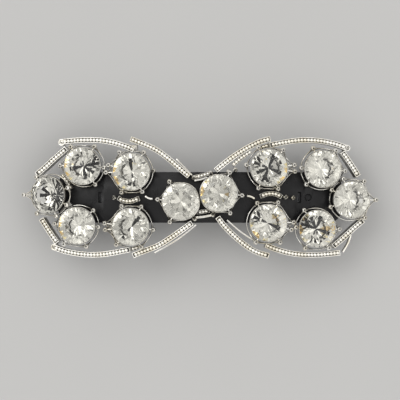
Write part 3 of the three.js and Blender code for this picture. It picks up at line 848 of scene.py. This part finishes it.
def stone_seat(node):
    """Where a stone stands: a turn and place whose +Z leaves its table, and its sizes in metres."""
    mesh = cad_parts[node].data
    areas = {}
    for face in mesh.polygons:
        key = tuple(round(part, 3) for part in face.normal)
        total, normal = areas.get(key, (0.0, Vector()))
        areas[key] = (total + face.area, normal + face.normal * face.area)
    axis = max(areas.values(), key=lambda entry: entry[0])[1].normalized()
    points = [vertex.co.copy() for vertex in mesh.vertices]
    heights = [point.dot(axis) for point in points]
    top = max(heights)
    culet = min(points, key=lambda point: point.dot(axis))
    across = Vector((0, 1, 0))
    along_axis = across.cross(axis).normalized()
    turn = Matrix((along_axis, across, axis)).transposed().to_4x4()
    reach = [((point - culet) - axis * (point - culet).dot(axis)).length for point in points]
    radius = max(reach)
    on_girdle = radius * 0.99
    girdle = [h for h, r in zip(heights, reach) if r > on_girdle]
    middle_height = (min(girdle) + max(girdle)) / 2
    turn.translation = culet + axis * (middle_height - culet.dot(axis))
    return {
        "place": turn,
        "radius": radius,
        "girdle": (max(girdle) - min(girdle)) / 2,
        "crown": top - max(girdle),
        "back": min(girdle) - culet.dot(axis),
    }


def cut_facets(stone, count, start, slope, radius, height):
    """Grinds a ring of flat facets. Each one's plane passes `radius` out at `height`."""
    for i in range(count):
        azimuth = start + i * math.tau / count
        outward = Vector((math.cos(azimuth), math.sin(azimuth), 0))
        normal = outward * math.sin(abs(slope)) + Vector((0, 0, math.copysign(math.cos(slope), height)))
        bpy.ops.mesh.select_all(action="SELECT")
        bpy.ops.mesh.bisect(
            plane_co=outward * radius + Vector((0, 0, height)), plane_no=normal,
            use_fill=True, clear_outer=True, threshold=FINEST_CUT,
        )


def cut_stone(seat):
    """One chaton, ground from a round blank, its girdle's middle at the origin."""
    stones = sizes("stones")
    radius, girdle = seat["radius"], seat["girdle"]
    top = girdle + seat["crown"] - TABLE_SKIM
    bottom = -girdle - seat["back"]
    bpy.ops.mesh.primitive_cylinder_add(
        vertices=BLANK_SIDES, radius=radius, depth=top - bottom, location=(0, 0, (top + bottom) / 2),
    )
    stone = bpy.context.object
    settle(stone)
    begin_edit(stone)
    step = math.tau / CROWN_FACETS
    table = radius - seat["crown"] / math.tan(stones.crown_angle)
    back_slope = math.atan(seat["back"] / radius)
    cut_facets(stone, CROWN_FACETS, 0, stones.crown_angle, radius, girdle)
    cut_facets(stone, CROWN_FACETS * 2, step / 4, stones.girdle_cut_angle, radius, girdle)
    cut_facets(stone, CROWN_FACETS, step / 2, stones.star_angle, table * STAR_REACH, top)
    cut_facets(stone, BACK_FACETS, 0, back_slope, radius, -girdle)
    petal = radius * PETAL_REACH
    depth = -girdle - (radius - petal) * math.tan(back_slope)
    cut_facets(stone, BACK_FACETS // 2, 0, back_slope - stones.petal_drop, petal, depth)
    cut_facets(stone, BACK_FACETS, math.pi / BACK_FACETS, back_slope + stones.back_cut_extra, radius, -girdle)
    end_edit()
    return stone


def facet_colour(chance, node, azimuth, ring):
    """The painted light of one facet: a painted reflection that is pale, nearly black for some petals, or a
    painted flash of fire.
    """
    group = sizes("stones")
    tone = chance.uniform(DIMMEST_FACET_REFLECTION, 1.0)
    dark = chance.random() < DARK_REFLECTION_SHARES.get(node, USUAL_DARK_REFLECTION_SHARE)
    if ring == "petal" and dark:
        return DARK_PETAL_REFLECTION
    off = 180.0
    if node in FIRE_SIDES:
        off = abs((azimuth - FIRE_SIDES[node] + 180) % 360 - 180)
    if ring == "crown edge" and off < AMBER_SPREAD:
        return tuple(group.amber_fire)
    if ring in ("crown edge", "back edge") and off < PALE_SPREAD:
        return tuple(group.pale_fire)
    return (tone, tone, tone) if face_is_silvered(ring) else (1.0, 1.0, 1.0)


def face_is_silvered(ring):
    return ring in ("petal", "back main", "back edge")


def ring_of(face, back_slope):
    """The ring that a facet belongs to, told by how steep it is."""
    stones = sizes("stones")
    slope = math.acos(min(1.0, abs(face.normal.z)))
    if face.normal.z > FACES_DOWN:
        return "crown edge" if slope > (stones.crown_angle + stones.girdle_cut_angle) / 2 else "crown"
    if slope > back_slope + stones.back_cut_extra / 2:
        return "back edge"
    return "petal" if slope < back_slope - stones.petal_drop / 2 else "back main"


def colour_stone(stone, turn, seat, seed, node, glass, foil):
    """Gives a stone its glass front and silvered back."""
    mesh = stone.data
    mesh.materials.clear()
    mesh.materials.append(glass)
    mesh.materials.append(foil)
    # Painted reflections and painted fire, facet by facet
    fire = mesh.color_attributes.new(name="fire", type="FLOAT_COLOR", domain="CORNER")
    chance = random.Random(seed)
    back_slope = math.atan(seat["back"] / seat["radius"])
    for face in mesh.polygons:
        ring = ring_of(face, back_slope)
        azimuth = math.degrees(math.atan2(face.normal.y, face.normal.x) + turn)
        colour = facet_colour(chance, node, azimuth, ring)
        face.material_index = 1 if face_is_silvered(ring) else 0
        for loop in face.loop_indices:
            fire.data[loop].color = (*colour, 1.0)


# ---- Settings ----


def cup_blank(seat):
    """A conical cup with a thin rim, foot down, its girdle's middle at the origin."""
    group = sizes("settings")
    inner = seat["radius"] + group.clearance
    outer = inner + group.wall
    foot = -seat["girdle"] - seat["back"] - FOOT_DEPTH
    shoulder = -seat["girdle"] - SHOULDER_DEPTH
    rim = seat["girdle"] + RIM_RISE
    bpy.ops.mesh.primitive_cone_add(
        vertices=64, radius1=group.foot, radius2=outer, depth=shoulder - foot,
        location=(0, 0, (foot + shoulder) / 2),
    )
    cup = bpy.context.object
    settle(cup)
    begin_edit(cup)
    pick(cup, "polygons", lambda face: face.center.z > shoulder - 0.01 * MM)
    bpy.ops.mesh.extrude_region_move(TRANSFORM_OT_translate={"value": (0, 0, rim - shoulder)})
    bpy.ops.mesh.inset(thickness=group.wall, depth=0)
    for down in (-seat["girdle"] * 2 - SEAT_DEPTH, -seat["back"]):
        bpy.ops.mesh.extrude_region_move(TRANSFORM_OT_translate={"value": (0, 0, down)})
    bpy.ops.transform.resize(value=(0.05, 0.05, 1), center_override=(0, 0, foot))
    end_edit()
    add_bevel(cup, CUP_EDGE, angle=60)
    apply_all(cup)
    # Painted shade inside and under the cup; only the rim's top is left bright
    paint(cup, "patina", lambda co: PAINTED_SHADE["cup rim"] if co.z > rim - UNSHADED_TOP else PAINTED_SHADE["cup"])
    smooth(cup, angle=40)
    return cup


def gallery_ring(radius):
    """The ring of wire that goes round a cup, under its stone's edge."""
    group = sizes("settings")
    bpy.ops.mesh.primitive_torus_add(
        major_radius=radius, minor_radius=group.wire, major_segments=72, minor_segments=8,
        location=(0, 0, -group.ring_drop),
    )
    ring = bpy.context.object
    settle(ring)
    # Painted shade on the underside of the ring
    paint(ring, "patina", lambda co: 0.0 if co.z > -group.ring_drop else PAINTED_SHADE["ring underside"])
    smooth(ring, angle=80)
    return ring


def prong_blank(seat, reach, ring):
    """A ball on a stem, with two wires that rise to it from the ring on either side, pointing along X."""
    group = sizes("settings")
    rim = seat["radius"] + group.clearance + group.wall
    level = seat["girdle"] + RIM_RISE - PRONG_DROP
    parts = [ball_at(reach, 0, level, group.ball)]
    parts.append(wire_along([(rim - 0.1 * MM, 0, level), (reach, 0, level)], group.wire * 1.1, "stem"))
    for side in (1, -1):
        leave = Vector((math.cos(SIDE_WIRE_SPREAD), side * math.sin(SIDE_WIRE_SPREAD), 0))
        start = leave * ring + Vector((0, 0, -group.ring_drop))
        turn = Vector((ring + 0.25 * MM, side * 0.6 * MM, -group.ring_drop * 0.8))
        end = Vector((reach - group.ball * 0.4, side * 0.12 * MM, level - 0.1 * MM))
        arc = []
        for step in range(SIDE_WIRE_STEPS + 1):
            t = step / SIDE_WIRE_STEPS
            arc.append((1 - t) * (1 - t) * start + 2 * t * (1 - t) * turn + t * t * end)
        parts.append(wire_along(arc, group.wire, "side_wire"))
    return joined(parts, "prong")


def ball_places(node, seat):
    """The direction and reach of each ball of a setting, read from the frame."""
    group = sizes("settings")
    to_local = seat["place"].inverted()
    outer = seat["radius"] + group.clearance + group.wall
    far = []
    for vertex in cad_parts[node].data.vertices:
        place = to_local @ vertex.co
        if place.xy.length > outer + PAST_THE_CUP:
            far.append((math.degrees(math.atan2(place.y, place.x)) % 360, place.xy.length))
    far.sort()
    groups = [[far[0]]]
    for entry in far[1:]:
        if entry[0] - groups[-1][-1][0] > BALL_SPACING:
            groups.append([])
        groups[-1].append(entry)
    if len(groups) > 1 and groups[0][0][0] + 360 - groups[-1][-1][0] < BALL_SPACING:
        groups[0] = [(angle - 360, reach) for angle, reach in groups.pop()] + groups[0]
    places = []
    for members in groups:
        angles = [angle for angle, _ in members]
        reach = max(reach for _, reach in members)
        places.append(((min(angles) + max(angles)) / 2, reach - group.ball - BALL_INSET))
    return places


# ---- Operators ----


class HAIRCLIP_OT_stage(bpy.types.Operator):
    """Lays the pale floor and sets the lights and the camera"""

    bl_idname = "hairclip.stage"
    bl_label = "Stage"

    def execute(self, context):
        bpy.ops.object.select_all(action="DESELECT")
        floor_size = 3.0
        bpy.ops.mesh.primitive_plane_add(size=floor_size, location=(0, 0, 0))
        floor = bpy.context.object
        floor.name = "floor"
        material, nodes, links = new_material("floor")
        shader = nodes["Principled BSDF"]
        cloud = object_noise(nodes, links, scale=30.0)
        pale = tuple(sizes("finish").floor)
        duller = tuple(0.96 * part for part in pale)
        links.new(mixed(nodes, links, cloud.outputs["Fac"], pale, duller), shader.inputs["Base Color"])
        shader.inputs["Roughness"].default_value = 0.8
        floor.data.materials.append(material)
        self.add_lights()
        self.add_camera()
        return {"FINISHED"}

    def add_lights(self):
        """An even round studio with soft panels: a key at the upper left and three weak fills."""
        world = bpy.data.worlds.new("studio")
        world.use_nodes = True
        nodes, links = world.node_tree.nodes, world.node_tree.links
        direction = nodes.new("ShaderNodeTexCoord").outputs["Generated"]
        panels = (
            # azimuth, height, half width, soft edge (degrees), brightness
            (138, 56, 15, 8, 1.9),
            (-25, 60, 16, 10, 0.5),
            (60, 50, 10, 8, 0.45),
            (235, 55, 12, 8, 0.45),
        )
        total = self.ambient(nodes, links, direction)
        for azimuth, height, half, edge, power in panels:
            panel = self.panel(nodes, links, direction, azimuth, height, half, edge, power)
            total = worked_out(nodes, links, "ADD", total, panel)
        links.new(total, nodes["Background"].inputs["Strength"])
        daylight = (1.0, 0.99, 0.975, 1.0)
        nodes["Background"].inputs["Color"].default_value = daylight
        bpy.context.scene.world = world
        bpy.context.scene.view_settings.view_transform = "Standard"

    def ambient(self, nodes, links, direction):
        """The even light: a little brighter higher up, and dim straight overhead, where the lens is."""
        parts = nodes.new("ShaderNodeSeparateXYZ")
        links.new(direction, parts.inputs["Vector"])
        sky = ramp(nodes, links, parts.outputs["Z"], low=0.2, high=0.75, low_value=0.74, high_value=0.86)
        lens = ramp(nodes, links, parts.outputs["Z"], low=0.985, high=0.995, low_value=1.0, high_value=0.35)
        return worked_out(nodes, links, "MULTIPLY", sky, lens)

    def panel(self, nodes, links, direction, azimuth, height, half, edge, power):
        """A round patch of light with a soft edge."""
        azimuth, height = math.radians(azimuth), math.radians(height)
        aim = (
            math.cos(height) * math.cos(azimuth), math.cos(height) * math.sin(azimuth), math.sin(height),
        )
        facing = nodes.new("ShaderNodeVectorMath")
        facing.operation = "DOT_PRODUCT"
        links.new(direction, facing.inputs[0])
        facing.inputs[1].default_value = aim
        low, high = math.cos(math.radians(half + edge)), math.cos(math.radians(half))
        return ramp(nodes, links, facing.outputs["Value"], low, high, high_value=power)

    def add_camera(self):
        """Looks straight down. `field` is the width seen at the height of the stones."""
        distance = 0.6
        field = 78.7 * MM
        height = 10 * MM
        sensor = 36.0
        aim_x, aim_y = 0.04 * MM, -0.51 * MM
        bpy.ops.object.camera_add(location=(aim_x, aim_y, height + distance), rotation=(0, 0, 0))
        camera = bpy.context.object
        camera.name = "camera"
        camera.data.sensor_width = sensor
        camera.data.lens = sensor * distance / field
        camera.data.clip_start = 0.01
        camera.data.dof.use_dof = False
        bpy.context.scene.camera = camera


class HAIRCLIP_OT_stones(bpy.types.Operator):
    """Cuts one chaton and sets a copy in each cup"""

    bl_idname = "hairclip.stones"
    bl_label = "Stones"

    def execute(self, context):
        glass = finish_called("Crystal glass", crystal_glass)
        foil = finish_called("Silver foil", foil_back)
        nodes = sorted(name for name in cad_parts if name.startswith("stone_"))
        blank = cut_stone(stone_seat(nodes[0]))
        for i, node in enumerate(nodes):
            seat = stone_seat(node)
            stone = copy_of(blank, node + "_cut")
            turn = i * TURN_PER_STONE
            colour_stone(stone, turn, seat, i, node, glass, foil)
            stone.data.transform(seat["place"] @ Matrix.Rotation(turn, 4, "Z"))
            finish_piece(stone, "frame", node, None)
        discard(blank)
        return {"FINISHED"}


class HAIRCLIP_OT_settings(bpy.types.Operator):
    """Makes a cup with its ball-tipped prongs for each stone"""

    bl_idname = "hairclip.settings"
    bl_label = "Settings"

    def execute(self, context):
        silver = rim_silver()
        group = sizes("settings")
        nodes = sorted(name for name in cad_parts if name.startswith("setting_"))
        cup_model = cup_blank(stone_seat(nodes[0].replace("setting_", "stone_")))
        for node in nodes:
            seat = stone_seat(node.replace("setting_", "stone_"))
            ring = group.centre_ring if node.endswith("centre") else group.ring
            parts = [copy_of(cup_model, node + "_cup"), gallery_ring(ring)]
            for direction, reach in ball_places(node, seat):
                prong = prong_blank(seat, reach, ring)
                prong.data.transform(Matrix.Rotation(math.radians(direction), 4, "Z"))
                parts.append(prong)
            setting = joined(parts, node + "_cup")
            setting.data.transform(seat["place"])
            finish_piece(setting, "frame", node, silver)
        discard(cup_model)
        return {"FINISHED"}


def knob(place, height):
    """A round end on a rail, made as a short bevelled drum."""
    rails = sizes("rails")
    x, y = (part * MM for part in place)
    bpy.ops.mesh.primitive_cylinder_add(
        vertices=32, radius=rails.width * KNOB_RADIUS, depth=height,
        location=(x, y, rails.lift + height / 2),
    )
    drum = bpy.context.object
    settle(drum)
    begin_edit(drum)
    top = rails.lift + height
    pick(drum, "polygons", lambda face: face.center.z > top - 0.01 * MM)
    bpy.ops.mesh.inset(thickness=rails.ridge, depth=0)
    bpy.ops.mesh.extrude_region_move(TRANSFORM_OT_translate={"value": (0, 0, -KNOB_HOLLOW)})
    end_edit()
    add_bevel(drum, 0.07 * MM, segments=3)
    apply_all(drum)
    # Painted shade on the drum below its top
    paint(drum, "patina", lambda co: 0.0 if co.z > top - UNSHADED_TOP else PAINTED_SHADE["knob"])
    bead = ball_at(x, y, top - KNOB_BEAD / 2, KNOB_BEAD, segments=14)
    whole = joined([drum, bead], "knob")
    bend_over_arch(whole, top)
    smooth(whole, angle=40)
    return whole


def with_extras(node, strip, height):
    """Joins a rail or link with its loose balls, flange, granules, plate and knob."""
    parts = [strip, *plan_balls(node, height)]
    if node in FLANGES:
        parts.append(beaded_strip("flange", FLANGES[node], FLANGE_WIDTH, height * FLANGE_HEIGHT, beads=False))
    if node in GRANULES:
        parts.append(beaded_strip(
            "granules", GRANULES[node], GRANULE_WIDTH, height * GRANULE_HEIGHT, ridge=GRANULE_RIDGE,
        ))
    if node in PLATES:
        plate = beaded_strip("plate", PLATES[node], PLATE_WIDTH, height * PLATE_HEIGHT, beads=False)
        # Painted shade over the whole plate
        paint(plate, "patina", lambda co: PAINTED_SHADE["plate"])
        parts.append(plate)
    if node in KNOBS:
        parts.append(knob(KNOBS[node], height))
    return joined(parts, strip.name)


class HAIRCLIP_OT_rails(bpy.types.Operator):
    """Makes the twelve beaded rails"""

    bl_idname = "hairclip.rails"
    bl_label = "Rails"

    def execute(self, context):
        rails = sizes("rails")
        silver = milgrain_silver()
        for node, points in rail_plans().items():
            strip = beaded_strip(node + "_milgrain", points, rails.width, rails.height)
            strip = with_extras(node, strip, rails.height)
            finish_piece(strip, "frame", node, silver)
        return {"FINISHED"}


class HAIRCLIP_OT_links(bpy.types.Operator):
    """Makes the waist links and the links in the middle of each lobe"""

    bl_idname = "hairclip.links"
    bl_label = "Links"

    def execute(self, context):
        rails = sizes("rails")
        silver = milgrain_silver()
        height = rails.link_height
        top = beaded_strip(
            "waist_link_top_bar", WAIST_LINKS["waist_link_top"], WAIST_TOP_WIDTH, height, ridge=LINK_RIDGE,
        )
        wire = beaded_strip("waist_wire", WAIST_WIRE, WAIST_WIRE_WIDTH, height, beads=False)
        bottom = beaded_strip(
            "waist_link_bottom_bar", WAIST_LINKS["waist_link_bottom"], WAIST_BOTTOM_WIDTH, height,
            beads=False,
        )
        made = {"waist_link_top": joined([top, wire], top.name), "waist_link_bottom": bottom}
        for side, turn in (("right", list), ("left", half_turn)):
            made[f"cross_link_{side}"] = beaded_strip(
                f"cross_link_{side}_bar", turn(CROSS_LINK), CROSS_LINK_WIDTH, height, ridge=LINK_RIDGE,
            )
            made[f"centre_link_{side}"] = beaded_strip(
                f"centre_link_{side}_wire", turn(CENTRE_LINK), CENTRE_LINK_WIDTH, height, beads=False,
            )
        for node, link in made.items():
            finish_piece(with_extras(node, link, height), "frame", node, silver)
        return {"FINISHED"}


def rounded_copy(node, name, edge):
    """A copy of a frame node with its edges rounded off."""
    piece = copy_of(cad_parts[node], name)
    piece.parent = None
    piece.hide_render = False
    piece.hide_viewport = False
    for key in [key for key in piece.keys() if key.startswith("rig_")]:
        del piece[key]
    begin_edit(piece)
    bpy.ops.mesh.select_all(action="SELECT")
    bpy.ops.mesh.remove_doubles(threshold=0.001 * MM)
    bpy.ops.mesh.dissolve_limited(angle_limit=math.radians(1.0))
    end_edit()
    add_bevel(piece, edge, angle=38)
    apply_all(piece)
    smooth(piece, angle=30)
    return piece


class HAIRCLIP_OT_barrette(bpy.types.Operator):
    """Makes the sprung barrette back: bar, pin, arm, latch and bow spring"""

    bl_idname = "hairclip.barrette"
    bl_label = "Barrette back"

    def execute(self, context):
        lacquer = finish_called("Black lacquer", black_lacquer)
        steel = finish_called("Spring steel", spring_steel)
        pieces = (
            ("base_bar", "frame", 0.12 * MM, "black_lacquer", lacquer),
            ("clasp_arm", "clasp_arm", 0.12 * MM, "black_lacquer", lacquer),
            ("hinge_pin", "frame", 0.06 * MM, "spring_steel", steel),
            ("bow_spring", "frame", 0.05 * MM, "spring_steel", steel),
            ("latch_web", "frame", 0.06 * MM, "spring_steel", steel),
            ("latch_rivet", "frame", 0.06 * MM, "spring_steel", steel),
            ("latch_finger_upper", "upper_finger", 0.07 * MM, "spring_steel", steel),
            ("latch_finger_lower", "lower_finger", 0.07 * MM, "spring_steel", steel),
        )
        arch = sizes("rails").arch
        lacquered = arch - 0.5 * MM

        def over_the_bar(co):
            return 1.0 if math.hypot(co.x, co.z - BAR_TOP + arch) > lacquered else 0.0

        for node, body, edge, slot, material in pieces:
            piece = rounded_copy(node, node + "_rounded", edge)
            if node in ("latch_rivet", "bow_spring"):
                paint(piece, "patina", over_the_bar)
            finish_piece(piece, body, node, material)
        return {"FINISHED"}


class HAIRCLIP_PT_panel(bpy.types.Panel):
    """Lists the clip's pieces in the order they are made"""

    bl_idname = "HAIRCLIP_PT_panel"
    bl_label = "Hair Clip"
    bl_space_type = "VIEW_3D"
    bl_region_type = "UI"
    bl_category = "Hair Clip"

    def draw(self, context):
        column = self.layout.column()
        for operator in OPERATORS:
            column.operator(operator.bl_idname)
        for group, kind in GROUPS.items():
            box = self.layout.box()
            box.label(text=group.capitalize())
            for name in kind.__annotations__:
                box.prop(getattr(context.scene, "hairclip_" + group), name)


OPERATORS = (
    HAIRCLIP_OT_stage,
    HAIRCLIP_OT_stones,
    HAIRCLIP_OT_settings,
    HAIRCLIP_OT_rails,
    HAIRCLIP_OT_links,
    HAIRCLIP_OT_barrette,
)
GROUPS = {
    "stones": HAIRCLIP_PG_stones,
    "settings": HAIRCLIP_PG_settings,
    "rails": HAIRCLIP_PG_rails,
    "finish": HAIRCLIP_PG_finish,
}


def register():
    for kind in (*GROUPS.values(), *OPERATORS, HAIRCLIP_PT_panel):
        bpy.utils.register_class(kind)
    for group, kind in GROUPS.items():
        setattr(bpy.types.Scene, "hairclip_" + group, bpy.props.PointerProperty(type=kind))


def unregister():
    for group in GROUPS:
        delattr(bpy.types.Scene, "hairclip_" + group)
    for kind in reversed((*GROUPS.values(), *OPERATORS, HAIRCLIP_PT_panel)):
        bpy.utils.unregister_class(kind)


def main():
    register()
    bpy.ops.hairclip.stage()
    bpy.ops.hairclip.stones()
    bpy.ops.hairclip.settings()
    bpy.ops.hairclip.rails()
    bpy.ops.hairclip.links()
    bpy.ops.hairclip.barrette()


if __name__ == "__main__":
    main()
